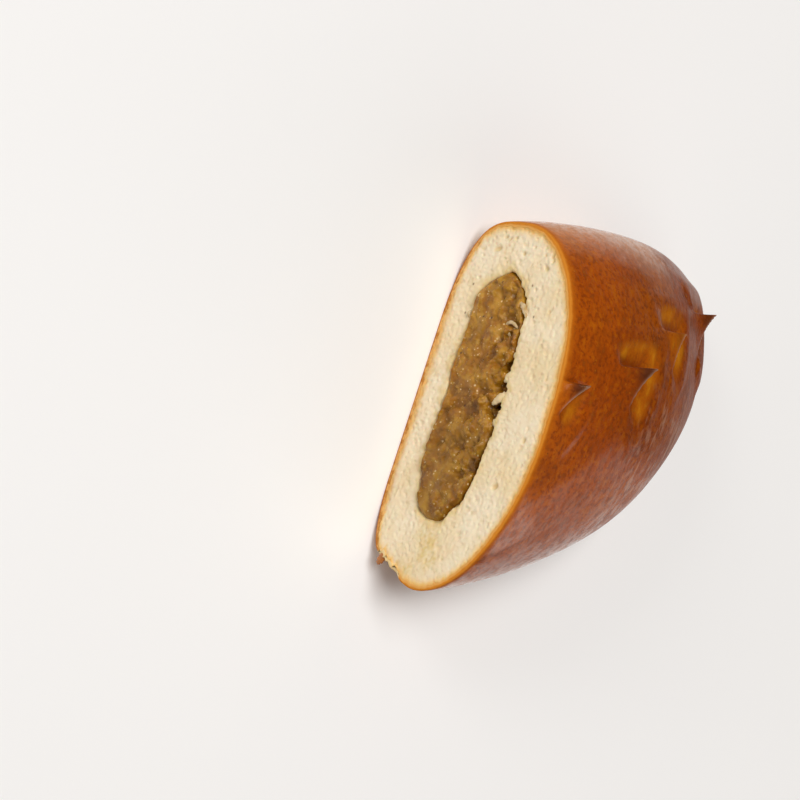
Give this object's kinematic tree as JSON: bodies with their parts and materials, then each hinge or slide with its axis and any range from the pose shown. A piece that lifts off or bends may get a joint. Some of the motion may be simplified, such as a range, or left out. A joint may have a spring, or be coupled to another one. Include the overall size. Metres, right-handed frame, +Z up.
{
  "type": "apple placinta",
  "caption": "Half of an oblong baked apple bun, cut on a slant to show pale crumb around apple filling, with a glossy brown crust snipped into small spikes along the dome.",
  "frame": {"origin": "middle of the floor of the bounding box, on the plane of the flat base", "axes": "+Z up through the dome, -Y square to the cut face and out of it, +X along the cut face towards its torn lower corner"},
  "size_m": [0.0874, 0.0714, 0.0423],
  "materials": {
    "golden_crust": "glossy egg-washed brown crust over a pale matte crumb",
    "apple_puree": "wet lumpy cooked apple"
  },
  "bodies": {
    "root": {"bread": "golden_crust", "apple_filling": "apple_puree"}
  },
  "joints": []
}
